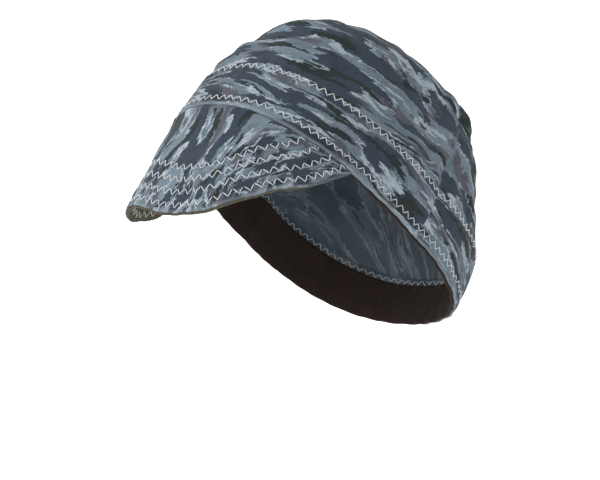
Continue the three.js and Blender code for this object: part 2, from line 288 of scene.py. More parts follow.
class CapForm:
    """The cap's surfaces, worked out from its sizes."""

    def __init__(self, shape, cloth):
        self.shape = shape
        self.cloth = cloth
        self.heights = OUTLINE[:, 0] * shape.band_height + OUTLINE[:, 1] * shape.crown_height
        levels = np.linspace(0, TOP, 4000)
        self.level_table = (self.height_at(levels), levels)

    def height_at(self, level):
        h = self.heights
        return through(h, 2 * h[0] - h[1], h[TOP - 1], level)

    def share_at(self, column, level):
        v = OUTLINE[:, column]
        return through(v, 2 * v[0] - v[1], -v[TOP - 1], level)

    def level_of(self, height):
        return np.interp(height, *self.level_table)

    def smooth_skin(self, turn, level):
        shape = self.shape
        side, front = np.sin(turn), np.cos(turn)
        power = shape.roundness
        spread = (np.abs(side) ** power + np.abs(front) ** power) ** (-1 / power)
        forward = shape.front_reach * self.share_at(FRONT, level)
        backward = shape.back_reach * self.share_at(BACK, level)
        reach = np.where(front > 0, forward, backward)
        return np.stack([
            shape.half_width * self.share_at(SIDE, level) * spread * side,
            shape.seam_setback - reach * spread * front,
            self.height_at(level) + 0 * turn,
        ], -1)

    def outward(self, turn, level):
        small = 0.01
        around = self.smooth_skin(turn + small, level) - self.smooth_skin(turn - small, level)
        low = np.maximum(level - small, 0)
        upward = self.smooth_skin(turn, np.minimum(level + small, TOP)) - self.smooth_skin(turn, low)
        normal = np.cross(around, upward)
        at_top = (level > TOP - 0.02)[..., None]
        return np.where(at_top, np.array([0.0, 0.0, 1.0]), unit(normal))

    def folds(self, turn, level, y):
        shape = self.shape
        furrow = bell(y - shape.seam_setback, shape.seam_dent_width)
        out = -shape.seam_dent * furrow * ease(level, 0, BAND_TOP)
        for at, row, wide, tall, deep in FOLDS + CREASES:
            fold = bell(degrees_from(turn, at), wide) * bell(level - row, tall)
            out = out + deep * shape.fold_depth * fold
        return out

    def creases(self, points, level, y):
        """Fine relief of the cloth: creases, gathers at the seams, the seam's line and the hem."""
        shape, cloth = self.shape, self.cloth
        height = points[..., 2]
        around = np.arctan2(points[..., 0], -points[..., 1]) * MEAN_RADIUS
        from_seam = np.abs(y - shape.seam_setback)
        loose = ease(level, BAND_TOP, BAND_TOP + 1.2)
        out = cloth.crease * (0.35 + 0.65 * loose) * waves(points * (1, 1, 1.6), 0.042, 11)
        out = out + 0.4 * cloth.crease * loose * waves(points, 0.016, 12)
        out = out + cloth.drawn * loose * waves(points * (0.3, 1, 1), 0.017, 31)
        beside = bell(height - shape.band_height, 0.009)
        out = out + cloth.pucker * beside * gathers(around, 0.0085, points, 13, wander=2.2)
        pinch = bell(from_seam, 0.007) * ease(level, BAND_TOP - 0.5, BAND_TOP + 0.5)
        out = out + 1.6 * cloth.pucker * pinch * gathers(self.height_at(level), 0.011, points, 14)
        out = out - cloth.seam_line * bell(from_seam, 0.0014)
        shoulder = bell(from_seam, 0.034) * ease(level, 4.0, 5.2) * (1 - ease(level, 7.0, 8.0))
        slanting = height - 0.3 * from_seam
        out = out + cloth.gather * shoulder * gathers(slanting, 0.010, points, 16, wander=2.4)
        out = out + cloth.hem_roll * bell(height - 0.0012, 0.0018)
        hem = bell(height, 0.011)
        return out + 0.9 * cloth.pucker * hem * gathers(around, 0.013, points, 15, reach=0.04)

    def tucks(self, turn, level):
        """Soft steps that start at the ear-to-ear seam and run out over the crown."""
        out = 0 * level
        degrees = degrees_from(turn)
        for (from_turn, from_level), (to_turn, to_level), share in TUCKS:
            part = (degrees - from_turn) / (to_turn - from_turn)
            above = (level - from_level - (to_level - from_level) * part) * ROW_HEIGHT
            step = np.where(above > 0, bell(above, 0.009), bell(above, 0.0014))
            fade = ease(part, -0.05, 0.2) * (1 - ease(part, 0.3, 1.0))
            out = out + share * self.cloth.tuck * step * fade
        return out

    def skin(self, turn, level, depth):
        """Points of the cloth at a depth under its outside. At the foot of the crown and in the
        band the depth is level, higher up it follows the surface."""
        point = self.smooth_skin(turn, level)
        normal = self.outward(turn, level)
        blend = ease(level, BAND_TOP, BAND_TOP + 0.4)[..., None]
        normal = unit(levelled(normal) * (1 - blend) + normal * blend)
        out = self.folds(turn, level, point[..., 1]) + self.creases(point, level, point[..., 1])
        out = out + self.tucks(turn, level)
        return point + normal * (out - depth)[..., None], normal

    def rim_height(self, turn):
        return -self.shape.rim_dip * np.sin(turn) ** 2

    def skin_at_height(self, turn, height, depth):
        point, normal = self.skin(turn, self.level_of(np.maximum(height, 0)), depth)
        point = point.copy()
        point[..., 2] = height
        return point, normal

    def peak_root(self, across):
        turn = self.shape.peak_corner * (1 - 2 * across)
        return self.skin_at_height(turn, self.rim_height(turn) - self.shape.seam_gap, 0 * turn)

    def peak_edge(self, across):
        shape = self.shape
        ends = self.peak_root(np.array([0.0, 1.0]))[0]
        middle = np.stack([
            PEAK_EDGE[:, 0] * shape.half_width,
            shape.seam_setback - PEAK_EDGE[:, 1] * shape.front_reach,
            -PEAK_EDGE[:, 2] * shape.peak_length,
        ], -1)
        rows = np.concatenate([ends[:1], middle, ends[1:]])
        at = across * (len(rows) - 1)
        return np.stack([
            through(rows[:, k], 2 * rows[0, k] - rows[1, k], 2 * rows[-1, k] - rows[-2, k], at)
            for k in range(3)
        ], -1)

    def smooth_peak(self, across, down):
        root = self.peak_root(across)[0]
        return root + (self.peak_edge(across) - root) * down[..., None]

    def peak_outward(self, across, down):
        small = 0.01
        place = np.clip(across, small, 1 - small)
        low = np.clip(down, 0.05, 0.95)
        sideways = self.smooth_peak(place + small, low) - self.smooth_peak(place - small, low)
        downward = self.smooth_peak(place, low + 0.05) - self.smooth_peak(place, low - 0.05)
        turn = self.shape.peak_corner * (1 - 2 * across)
        flat = levelled(self.outward(turn, 0 * turn))
        share = (ease(down, 0, 0.2) * ease(np.minimum(across, 1 - across), 0, 0.06))[..., None]
        return unit(flat * (1 - share) + unit(np.cross(sideways, downward)) * share)

    def edge_distance(self, points):
        """How far points of the peak lie from its edge."""
        edge = self.peak_edge(np.linspace(0, 1, 240))
        rows = points.reshape(-1, points.shape[-2], 3) if points.ndim > 2 else points[None]
        apart = [np.linalg.norm(row[:, None] - edge[None], axis=-1).min(1) for row in rows]
        return np.array(apart).reshape(points.shape[:-1])

    def peak(self, across, down, depth):
        shape, cloth = self.shape, self.cloth
        point = self.smooth_peak(across, down)
        normal = self.peak_outward(across, down)
        belly = shape.peak_belly * np.sin(math.pi * np.minimum(down, 1)) * np.sin(math.pi * across)
        from_edge = self.edge_distance(point)
        from_rim = np.linalg.norm(self.peak_edge(across) - self.peak_root(across)[0], axis=-1) * down
        ripple = 0.8 * cloth.crease * waves(point, 0.035, 21) * ease(from_rim, 0.001, 0.015)
        crevice = -cloth.crevice * bell(from_rim, 0.0012)
        roll = 0.5 * cloth.crevice * bell(from_rim - 0.0034, 0.0013)
        stitch = bpy.context.scene.cap_stitching
        rows = stitch.first_row + stitch.peak_row_gap * np.arange(stitch.peak_rows)
        quilt = sum(-cloth.quilting * bell(from_edge - row, 0.0019) for row in rows)
        zone = 1 - ease(from_edge, rows[-1], rows[-1] + 0.004)
        bumps = 0.6 * cloth.quilting * waves(point, 0.009, 22) * zone
        out = belly + ripple + crevice + roll + (quilt + bumps) * ease(from_rim, 0.0, 0.004)
        return point + normal * (out - depth)[..., None], normal

    def peak_row(self, from_edge, count=260):
        """A line on the peak at one distance from its edge, as shares across and down."""
        across = np.linspace(PEAK_INSET, 1 - PEAK_INSET, count)
        down = np.linspace(0, 1, 80)
        sideways, downward = np.meshgrid(across, down)
        apart = self.edge_distance(self.smooth_peak(sideways, downward))
        at = np.array([np.interp(from_edge, apart[::-1, k], down[::-1]) for k in range(count)])
        reached = apart[0] > from_edge + 0.0002
        return across[reached], at[reached]

    def wear(self, points):
        """Turns points in the rim's plane into their place as worn."""
        tilt_cos, tilt_sin = math.cos(self.shape.worn_tilt), math.sin(self.shape.worn_tilt)
        x, y, z = points[..., 0], points[..., 1], points[..., 2]
        return np.stack([x, y * tilt_cos + z * tilt_sin, -y * tilt_sin + z * tilt_cos], -1)


def form():
    scene = bpy.context.scene
    return CapForm(scene.cap_shape, scene.cap_cloth)


# Turns of the rows that make the round end of a sheet
END_TURNS = [math.radians(36 * k) for k in (1, 2, 3, 4)]
END_ROWS = len(END_TURNS)


def rounded(outer, inner):
    """Closes two rows-by-columns grids into loops with round ends, one loop for each column."""
    ends = []
    for k, before in ((-1, -2), (0, 1)):
        middle = (outer[k] + inner[k]) / 2
        half = outer[k] - middle
        open_edge = np.ptp(outer[k], axis=0).max() > 1e-6
        ahead = unit(outer[k] - outer[before]) * np.linalg.norm(half, axis=-1, keepdims=True) * open_edge
        ends.append([middle + half * math.cos(a) + ahead * 0.7 * math.sin(a) for a in END_TURNS])
    return np.stack([*outer, *ends[0], *inner[::-1], *ends[1][::-1]])


def all_round(outside, inside):
    """Values for the rows of a loop, from those of the outside and those of the inside."""
    return np.stack([*outside, *[outside[-1]] * END_ROWS, *inside, *[outside[0]] * END_ROWS])


def cloth_piece(name, outer, inner, weave, highlight_and_wear=None, round_trip=False):
    """A closed sheet from grids of outside and inside points, with the cloth's own thread
    coordinates in centimetres kept as an attribute, and as another how far the outside is painted
    pale: partly wear, partly a painted highlight along its edges and seams. Faces of the inside take
    material 1."""
    cap = form()
    loops = cap.wear(rounded(outer, inner))
    rows, columns = outer.shape[:2]
    threads = all_round(weave, weave[::-1]).reshape(-1, 3)
    # Painted highlight, partly wear, along edges and seams: none unless given
    highlight_and_wear = 0 * outer[..., 0] if highlight_and_wear is None else highlight_and_wear
    highlights_and_wear = all_round(highlight_and_wear, 0 * highlight_and_wear).reshape(-1)
    around = len(loops)
    points = loops.reshape(-1, 3)
    key = np.round(points * 1e7).astype(np.int64)
    _, first, same = np.unique(key, axis=0, return_index=True, return_inverse=True)
    same = same.reshape(-1)
    index = np.arange(around * columns).reshape(around, columns)
    faces, marks = [], []

    def add(corners, mark):
        kept = []
        for corner in corners:
            v = int(same[corner])
            if v not in kept:
                kept.append(v)
        if len(kept) > 2:
            faces.append(kept)
            marks.append(mark)

    for j in range(around):
        following = (j + 1) % around
        mark = int(rows + END_ROWS - 1 <= j < 2 * rows + END_ROWS)
        for i in range(columns - 1):
            add((index[j, i], index[j, i + 1], index[following, i + 1], index[following, i]), mark)
    if not round_trip:
        add_end(add, index[:, 0], rows, True)
        add_end(add, index[:, -1], rows, False)
    mesh = bpy.data.meshes.new(name)
    mesh.from_pydata(points[first].tolist(), [], faces)
    cloth_attribute = mesh.attributes.new("cloth", "FLOAT_VECTOR", "POINT")
    cloth_attribute.data.foreach_set("vector", threads[first].astype(np.float32).ravel())
    highlight_and_wear_attribute = mesh.attributes.new("highlight_and_wear", "FLOAT", "POINT")
    highlight_and_wear_attribute.data.foreach_set("value", highlights_and_wear[first].astype(np.float32))
    mesh.polygons.foreach_set("material_index", marks)
    mesh.polygons.foreach_set("use_smooth", [True] * len(marks))
    mesh.update()
    piece = bpy.data.objects.new(name, mesh)
    bpy.context.collection.objects.link(piece)
    return piece


def add_end(add, loop, rows, turned):
    """Fills the cut end of a sheet with a ladder of faces between its outside and inside."""
    size = len(loop)

    def opposite(k):
        return loop[(size - END_ROWS - 1 - k) % size]

    for k in range(-END_ROWS // 2, rows + 1):
        corners = (loop[k % size], loop[(k + 1) % size], opposite(k + 1), opposite(k))
        add(corners if not turned else corners[::-1], 0)


def finish_piece(piece, slot, nodes, *materials):
    for material in materials:
        piece.data.materials.append(material)
    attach(piece, "root")
    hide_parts(*nodes)


class Value:
    """A shader socket that takes part in Python sums, each of which adds a Math node."""

    def __init__(self, tree, socket):
        self.tree = tree
        self.socket = socket

    def math(self, operation, other=None):
        inputs = {0: self} if other is None else {0: self, 1: other}
        return make_node(self.tree, "ShaderNodeMath", {"operation": operation}, inputs)

    def __add__(self, other):
        return self.math("ADD", other)

    def __sub__(self, other):
        return self.math("SUBTRACT", other)

    def __mul__(self, other):
        return self.math("MULTIPLY", other)

    def __rsub__(self, other):
        return (self * -1.0) + other

    __radd__ = __add__
    __rmul__ = __mul__


def make_node(tree, kind, settings=None, inputs=None, output=0):
    """Adds a node, makes its settings, then fills its sockets with values or links."""
    node = tree.nodes.new(kind)
    for key, setting in (settings or {}).items():
        setattr(node, key, setting)
    for key, value in (inputs or {}).items():
        if isinstance(value, Value):
            tree.links.new(value.socket, node.inputs[key])
        else:
            node.inputs[key].default_value = value
    return Value(tree, node.outputs[output])


def linear(colour_value):
    return tuple(
        v / 12.92 if v <= 0.04045 else ((v + 0.055) / 1.055) ** 2.4 for v in colour_value
    ) + (1.0,)


# Sockets that share a name with others, by number
MIX_SHARE, MIX_LOW, MIX_HIGH, MIX_COLOUR = 0, 6, 7, 2
ATTRIBUTE_VECTOR, ATTRIBUTE_NUMBER = 1, 2
WAVE_HEIGHT = 1
OBJECT_PLACE = 3


def mix_colours(tree, share, low, high, kind="MIX"):
    """A colour from low to high by share."""
    return make_node(tree, "ShaderNodeMix", {"data_type": "RGBA", "blend_type": kind}, {
        MIX_SHARE: share, MIX_LOW: low, MIX_HIGH: high,
    }, MIX_COLOUR)


class Paint:
    """One cloth material under construction."""

    def __init__(self, name):
        self.material = bpy.data.materials.new(name)
        self.material.use_nodes = True
        self.tree = self.material.node_tree
        self.surface = self.tree.nodes["Principled BSDF"]
        named = {"attribute_name": "cloth"}
        thread = make_node(self.tree, "ShaderNodeAttribute", named, output=ATTRIBUTE_VECTOR)
        self.parts = self.tree.nodes.new("ShaderNodeSeparateXYZ")
        self.tree.links.new(thread.socket, self.parts.inputs[0])

    # Painted highlight, partly wear: how pale the cloth is painted along its edges and seams
    @property
    def highlight_and_wear(self):
        named = {"attribute_name": "highlight_and_wear"}
        return make_node(self.tree, "ShaderNodeAttribute", named, output=ATTRIBUTE_NUMBER)

    @property
    def along(self):
        return Value(self.tree, self.parts.outputs[0])

    @property
    def across(self):
        return Value(self.tree, self.parts.outputs[1])

    @property
    def third(self):
        return Value(self.tree, self.parts.outputs[2])

    def place(self, along, across, shift=0.0):
        return make_node(self.tree, "ShaderNodeCombineXYZ", None, {
            0: along, 1: across, 2: self.third + shift,
        })

    def noise(self, place, detail=2.0, roughness=0.5, scale=1.0):
        return make_node(self.tree, "ShaderNodeTexNoise", {"noise_dimensions": "3D"}, {
            "Vector": place, "Scale": scale, "Detail": detail, "Roughness": roughness,
        })

    def over(self, value, edge, soft=0.006):
        """1 where value is over edge, with a narrow soft step."""
        return make_node(self.tree, "ShaderNodeMapRange", {"interpolation_type": "SMOOTHSTEP"}, {
            0: value, 1: edge - soft, 2: edge + soft, 3: 0.0, 4: 1.0,
        })

    def blend(self, share, low, high, kind="MIX"):
        return mix_colours(self.tree, share, low, high, kind)

    def finish(self, shade, rough, relief, strength, distance, sheen=0.05):
        links = self.tree.links
        links.new(shade.socket, self.surface.inputs["Base Color"])
        links.new(rough.socket, self.surface.inputs["Roughness"])
        bump = make_node(self.tree, "ShaderNodeBump", None, {
            "Strength": strength, "Distance": distance, "Height": relief,
        })
        links.new(bump.socket, self.surface.inputs["Normal"])
        self.surface.inputs["Specular IOR Level"].default_value = 0.18
        self.surface.inputs["Sheen Weight"].default_value = sheen
        self.surface.inputs["Sheen Roughness"].default_value = 0.5
        return self.material


def twill(paint, ribs_per_cm=8.0):
    """Diagonal ribs of the twill, with a little unevenness, as a height."""
    settings = {"wave_type": "BANDS", "bands_direction": "DIAGONAL"}
    ribs = make_node(paint.tree, "ShaderNodeTexWave", settings, {
        "Vector": paint.place(paint.along, paint.across), "Scale": ribs_per_cm, "Distortion": 0.6,
        "Detail": 2.0, "Detail Scale": 2.0,
    }, output=WAVE_HEIGHT)
    slubs = paint.noise(paint.place(paint.along * 6.0, paint.across * 9.0, 5.0), 3.0, 0.6)
    return ribs * 0.5 + slubs * 0.8


# Inks of the print: patches for each centimetre along the stripes and across them, the layer
# of the noise, its detail and its roughness
INKS = {
    "stripes": (0.26, 1.30, 1.0, 1.5, 0.4),
    "deep": (0.30, 1.55, 12.0, 1.5, 0.4),
    "streaks": (0.34, 2.10, 23.0, 2.0, 0.5),
    "browns": (0.22, 1.10, 34.0, 1.5, 0.5),
}


def camouflage(name, reverse=0.0):
    """Cotton printed with long tiger stripes. reverse fades the print as on the back of it."""
    cloth = bpy.context.scene.cap_cloth
    p = Paint(name)
    swell = p.noise(p.place(p.along * 0.16, p.across * 0.30, 40.0), 1.0) - 0.5
    feather = p.noise(p.place(p.along * 0.7, p.across * 5.5, 50.0), 2.0, 0.6) - 0.5
    ragged = p.noise(p.place(p.along * 2.6, p.across * 3.4, 60.0), 2.0, 0.6) - 0.5
    x = p.along + feather * 2.6
    y = p.across + swell * 2.6 + ragged * 0.36
    inks = {
        ink: p.noise(p.place(x * along, y * across, layer), detail, roughness)
        for ink, (along, across, layer, detail, roughness) in INKS.items()
    }
    broken = p.noise(p.place(x * 0.45, y * 0.9, 45.0), 1.0)
    paler = p.over(p.noise(p.place(x * 0.2, y * 0.7, 70.0), 1.0), 0.5, 0.05)
    tone = p.blend(paler, linear(cloth.blue_grey), linear([v * 1.12 for v in cloth.blue_grey]))
    tone = p.blend(p.over(inks["browns"], 0.565) * 0.85, tone, linear(cloth.brown_grey))
    tone = p.blend(p.over(inks["streaks"], 0.595), tone, linear(cloth.light_grey))
    tone = p.blend(p.over(inks["stripes"], 0.517), tone, linear(cloth.slate))
    tone = p.blend(p.over(inks["deep"], 0.60), tone, linear(cloth.black_green))
    beside_stripe = p.over(inks["stripes"], 0.484) * (1.0 - p.over(inks["stripes"], 0.512))
    lip = beside_stripe * p.over(broken, 0.51, 0.03)
    tone = p.blend(lip * 0.9, tone, linear([v * 1.08 for v in cloth.light_grey]))
    fuzz = p.noise(p.place(p.along * 7.0, p.across * 7.0, 80.0), 4.0, 0.65)
    washed = p.noise(p.place(p.along * 2.4, p.across * 2.4, 90.0), 5.0, 0.7)
    faded = p.over(fuzz * 0.6 + washed * 0.4, 0.5, 0.13)
    mottle = p.blend(faded, (0.3, 0.3, 0.3, 1.0), (0.7, 0.7, 0.7, 1.0))
    tone = p.blend(0.5, tone, mottle, "OVERLAY")
    # Painted highlight, partly wear: paler towards light grey along the hem, the seams and the peak's
    # edge
    tone = p.blend(p.highlight_and_wear * 0.5, tone, linear(cloth.light_grey))
    if reverse:
        tone = p.blend(reverse, tone, linear([v * 0.95 for v in cloth.blue_grey]))
    rough = fuzz * 0.12 + 0.82
    return p.finish(tone, rough, twill(p) + fuzz * 0.6, 0.35, 0.0004)


def coarse_cotton(name, tint, dark, light):
    """Coarse plain cloth with visible threads and slubs."""
    p = Paint(name)
    threads = p.noise(p.place(p.along * 3.0, p.across * 22.0, 3.0), 2.0, 0.6)
    picks = p.noise(p.place(p.along * 22.0, p.across * 3.0, 9.0), 2.0, 0.6)
    wear = p.noise(p.place(p.along * 0.8, p.across * 0.8, 15.0), 3.0, 0.6)
    grain = threads * 0.5 + picks * 0.5
    tones = [linear([min(v * share, 1) for v in tint]) for share in (dark, light, 0.8)]
    tone = p.blend(p.over(grain, 0.5, 0.16), tones[0], tones[1])
    tone = p.blend(p.over(wear, 0.5, 0.25) * 0.35, tone, tones[2])
    return p.finish(tone, grain * 0.1 + 0.85, grain, 0.6, 0.0005)


def thread_finish(name):
    """Pale sewing thread with a slight twist."""
    material = bpy.data.materials.new(name)
    material.use_nodes = True
    tree = material.node_tree
    surface = tree.nodes["Principled BSDF"]
    place = make_node(tree, "ShaderNodeTexCoord", output=OBJECT_PLACE)
    twist = {"Vector": place, "Scale": 900.0, "Detail": 2.0}
    mottle = make_node(tree, "ShaderNodeTexNoise", None, twist)
    tint = bpy.context.scene.cap_stitching.thread
    tone = mix_colours(tree, mottle, linear([v * 0.86 for v in tint]), linear(tint))
    tree.links.new(tone.socket, surface.inputs["Base Color"])
    surface.inputs["Roughness"].default_value = 0.55
    surface.inputs["Sheen Weight"].default_value = 0.2
    return material


def finishes():
    """Makes each material once and gives them by name."""
    cloth = bpy.context.scene.cap_cloth
    makers = {
        "print_face": camouflage,
        "print_reverse": lambda name: camouflage(name, 0.62),
        "lining_weave": lambda name: coarse_cotton(name, cloth.khaki, 0.62, 1.2),
        "sweatband_weave": lambda name: coarse_cotton(name, cloth.dark_brown, 0.7, 1.3),
        "sewing_thread": thread_finish,
    }
    return {name: bpy.data.materials.get(name) or make(name) for name, make in makers.items()}


def grid(rows, columns, low=0.0, high=1.0):
    """Shares up and across for a grid of points."""
    return np.meshgrid(np.linspace(low, high, rows + 1), np.linspace(0, 1, columns + 1), indexing="ij")


def half_columns():
    shape, cloth = bpy.context.scene.cap_shape, bpy.context.scene.cap_cloth
    return int(math.pi * (shape.front_reach + shape.half_width) / 2 / cloth.step)


def half_turn(across, is_front):
    return across * math.pi + (-math.pi / 2 if is_front else math.pi / 2)


def crown_threads(points, is_front):
    """Thread coordinates of the crown in centimetres, along the stripes and across them. On the
    front panel the stripes run round the brow and rise a little towards the ears, on the back
    panel they run from the seam to the nape."""
    x, y, z = points[..., 0], points[..., 1], points[..., 2]
    if is_front:
        behind, radius, rising = 0.06, 13.8, 36.0
        along = np.arctan2(x, behind - y) * radius * 1.1
        across = np.arctan2(z, np.hypot(x, behind - y)) * radius - rising * y
        return np.stack([along, across, 0 * along], -1)
    below, radius, turned = 0.045, 12.5, math.radians(-12)
    along = np.arctan2(y, z + below) * radius
    across = np.arctan2(x, z + below) * radius
    return np.stack([
        along * math.cos(turned) - across * math.sin(turned),
        along * math.sin(turned) + across * math.cos(turned),
        0 * along + 7.3,
    ], -1)


def crown_panel(is_front):
    cap = form()
    shape, cloth = cap.shape, cap.cloth
    rows = int((shape.crown_height + shape.half_width) / cloth.step * 0.8)
    up, across = grid(rows, half_columns())
    turn = half_turn(across, is_front)
    foot = cap.level_of(shape.band_height)
    level = foot + (TOP - foot) * up
    outer, _ = cap.skin(turn, level, 0 * up)
    inner, _ = cap.skin(turn, level, 0 * up + shape.crown_wall)
    outer[-1] = outer[-1].mean(0)
    inner[-1] = inner[-1].mean(0)
    weave = crown_threads(outer, is_front)
    # Painted highlight, partly wear: a pale line along the ear-to-ear seam
    highlight_and_wear = 0.5 * bell(outer[..., 1] - shape.seam_setback, 0.0009)
    name = "front" if is_front else "back"
    return cloth_piece(f"crown_{name}_cloth", outer, inner, weave, highlight_and_wear)


def band_panel(is_front):
    cap = form()
    shape = cap.shape
    row_step = 0.0009
    rows = int(shape.band_height / row_step)
    up, across = grid(rows, half_columns())
    turn = half_turn(across, is_front)
    rim = cap.rim_height(turn)
    height = rim + (shape.band_height - rim) * up
    outer, _ = cap.skin_at_height(turn, height, 0 * up)
    inner, _ = cap.skin_at_height(turn, height, 0 * up + shape.band_wall)
    steps = np.linalg.norm(np.diff(outer, axis=1), axis=-1)
    along = np.concatenate([np.zeros((rows + 1, 1)), np.cumsum(steps, 1)], 1) * 100
    weave = np.stack([along, height * 100 + 0.06 * along, 0 * along + (15.0 if is_front else 31.0)], -1)
    # Painted highlight, partly wear: pale lines along the hem and the top of the band
    highlight_and_wear = bell(height - rim, 0.0011) + 0.3 * bell(height - shape.band_height, 0.001)
    return cloth_piece(f"band_{'front' if is_front else 'back'}_cloth", outer, inner, weave, highlight_and_wear)


def peak_ply(name, depth, wall, past, seed):
    cap = form()
    shape = cap.shape
    rows = int(shape.peak_length / 0.001)
    width = 0.25
    down, across = grid(rows, int(width / cap.cloth.step))
    across = PEAK_INSET + (1 - 2 * PEAK_INSET) * across
    reach = 1 + (past / shape.peak_length) * np.sin(math.pi * across) ** 0.5
    outer, _ = cap.peak(across, down * reach, 0 * down + depth)
    inner, _ = cap.peak(across, down * reach, 0 * down + depth + wall)
    fan, root_radius, turned = math.radians(100), 0.131, math.radians(22)
    radius = root_radius + shape.peak_length * down
    swept = (across - 0.5) * fan
    along, sideways = radius * np.cos(swept) * 100, radius * np.sin(swept) * 100
    stitch = bpy.context.scene.cap_stitching
    last_row = stitch.first_row + stitch.peak_row_gap * (stitch.peak_rows - 1)
    from_edge = cap.edge_distance(cap.smooth_peak(across, down))
    quilted = from_edge < last_row
    # Painted highlight, partly wear: a pale line along the edge of the peak
    highlight_and_wear = 0.6 * bell(from_edge, 0.0012)
    # The print is in shorter patches where the peak is quilted
    shorter, narrower = np.where(quilted, 1.9, 0.9), np.where(quilted, 0.8, 0.68)
    weave = np.stack([
        (along * math.cos(turned) + sideways * math.sin(turned)) * shorter,
        (sideways * math.cos(turned) - along * math.sin(turned)) * narrower,
        seed + np.where(quilted, 5.0, 0.0),
    ], -1)
    return cloth_piece(name, outer, inner, weave, highlight_and_wear)


def sweatband_ring():
    cap = form()
    shape = cap.shape
    strip, row_step, column_step = 0.6, 0.002, 0.0022
    rows = int(shape.sweatband_height / row_step)
    up, across = grid(rows, int(strip / column_step))
    turn = (2 * across - 1) * math.pi
    past = np.degrees(np.abs(turn)) - math.degrees(shape.peak_corner)
    foot = cap.rim_height(turn) - shape.sweatband_shows * ease(past, 2, 9)
    height = foot + (shape.sweatband_height - foot) * up
    depth = shape.band_wall + shape.seam_gap
    outer, _ = cap.skin_at_height(turn, height, 0 * up + depth)
    inner, _ = cap.skin_at_height(turn, height, 0 * up + depth + shape.sweatband_wall)
    outer[:, -1] = outer[:, 0]
    inner[:, -1] = inner[:, 0]
    along = across * (strip * 100)
    weave = np.stack([along, height * 100, 0 * along + 50.0], -1)
    return cloth_piece("sweatband_cloth", outer, inner, weave, round_trip=True)


def group_input(tree, name, kind, default):
    socket = tree.interface.new_socket(name=name, in_out="INPUT", socket_type=kind)
    if default is not None:
        socket.default_value = default
    return socket


def zigzag_tree(stitch, material):
    """Geometry Nodes: a row's middle line becomes a zigzag thread that dips at each needle hole."""
    tree = bpy.data.node_groups.new("zigzag_stitch", "GeometryNodeTree")
    group_input(tree, "Geometry", "NodeSocketGeometry", None)
    for name, value in (("Pitch", stitch.pitch), ("Height", stitch.height), ("Radius", stitch.radius)):
        group_input(tree, name, "NodeSocketFloat", value)
    tree.interface.new_socket(name="Geometry", in_out="OUTPUT", socket_type="NodeSocketGeometry")
    source = tree.nodes.new("NodeGroupInput")
    pitch, height, radius = (Value(tree, source.outputs[k]) for k in (1, 2, 3))

    def node(kind, settings=None, inputs=None, output=0):
        return make_node(tree, kind, settings, inputs, output)

    line = node("GeometryNodeMeshToCurve", None, {0: Value(tree, source.outputs[0])})
    steps = 8
    spacing = {"Curve": line, "Length": pitch * (1 / steps)}
    even = node("GeometryNodeResampleCurve", {"mode": "LENGTH"}, spacing)
    index = node("GeometryNodeInputIndex")
    phase = (index * (1 / steps)).math("FRACT")
    zig = (phase * 4.0 - 2.0).math("ABSOLUTE") - 1.0
    vector = {"data_type": "FLOAT_VECTOR"}
    outward = node("GeometryNodeInputNamedAttribute", vector, {"Name": "outward"})
    tangent = node("GeometryNodeInputTangent")
    sideways = node("ShaderNodeVectorMath", {"operation": "CROSS_PRODUCT"}, {0: outward, 1: tangent})
    swings = {0: sideways, "Scale": zig * height * 0.5}
    swing = node("ShaderNodeVectorMath", {"operation": "SCALE"}, swings)
    dip = zig * zig * zig * zig
    rise = (1.0 - dip * 1.2) * radius
    lift = node("ShaderNodeVectorMath", {"operation": "SCALE"}, {0: outward, "Scale": rise})
    shift = node("ShaderNodeVectorMath", {"operation": "ADD"}, {0: swing, 1: lift})
    placed = node("GeometryNodeSetPosition", None, {"Geometry": even, "Offset": shift})
    ring = node("GeometryNodeCurvePrimitiveCircle", None, {"Resolution": 6, "Radius": radius})
    sweep = {"Curve": placed, "Profile Curve": ring, "Fill Caps": True}
    thread = node("GeometryNodeCurveToMesh", None, sweep)
    smooth = node("GeometryNodeSetShadeSmooth", None, {"Geometry": thread})
    real = node("GeometryNodeRealizeInstances", None, {"Geometry": smooth})
    done = node("GeometryNodeSetMaterial", None, {"Geometry": real, "Material": material})
    target = tree.nodes.new("NodeGroupOutput")
    tree.links.new(done.socket, target.inputs[0])
    return tree


def stitched_rows(name, rows, pitch, height):
    """Turns middle lines, each a pair of points and outward directions, into one thread piece."""
    cap = form()
    scene = bpy.context.scene
    points, ways, edges = [], [], []
    for line, outward in rows:
        start = len(points)
        points += cap.wear(line).tolist()
        ways += cap.wear(outward).tolist()
        edges += [(start + k, start + k + 1) for k in range(len(line) - 1)]
    mesh = bpy.data.meshes.new(name + "_line")
    mesh.from_pydata(points, edges, [])
    attribute = mesh.attributes.new("outward", "FLOAT_VECTOR", "POINT")
    attribute.data.foreach_set("vector", np.array(ways, np.float32).ravel())
    guide = bpy.data.objects.new(name + "_line", mesh)
    scene.collection.objects.link(guide)
    tree = bpy.data.node_groups.get("zigzag_stitch")
    tree = tree or zigzag_tree(scene.cap_stitching, finishes()["sewing_thread"])
    modifier = guide.modifiers.new("stitches", "NODES")
    modifier.node_group = tree
    for item in tree.interface.items_tree:
        if item.in_out == "INPUT" and item.name in ("Pitch", "Height"):
            modifier[item.identifier] = {"Pitch": pitch, "Height": height}[item.name]
    ready = guide.evaluated_get(bpy.context.evaluated_depsgraph_get())
    made = bpy.data.meshes.new_from_object(ready)
    guide.modifiers.clear()
    bpy.data.objects.remove(guide)
    made.name = name
    piece = bpy.data.objects.new(name, made)
    scene.collection.objects.link(piece)
    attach(piece, "root")
    return piece


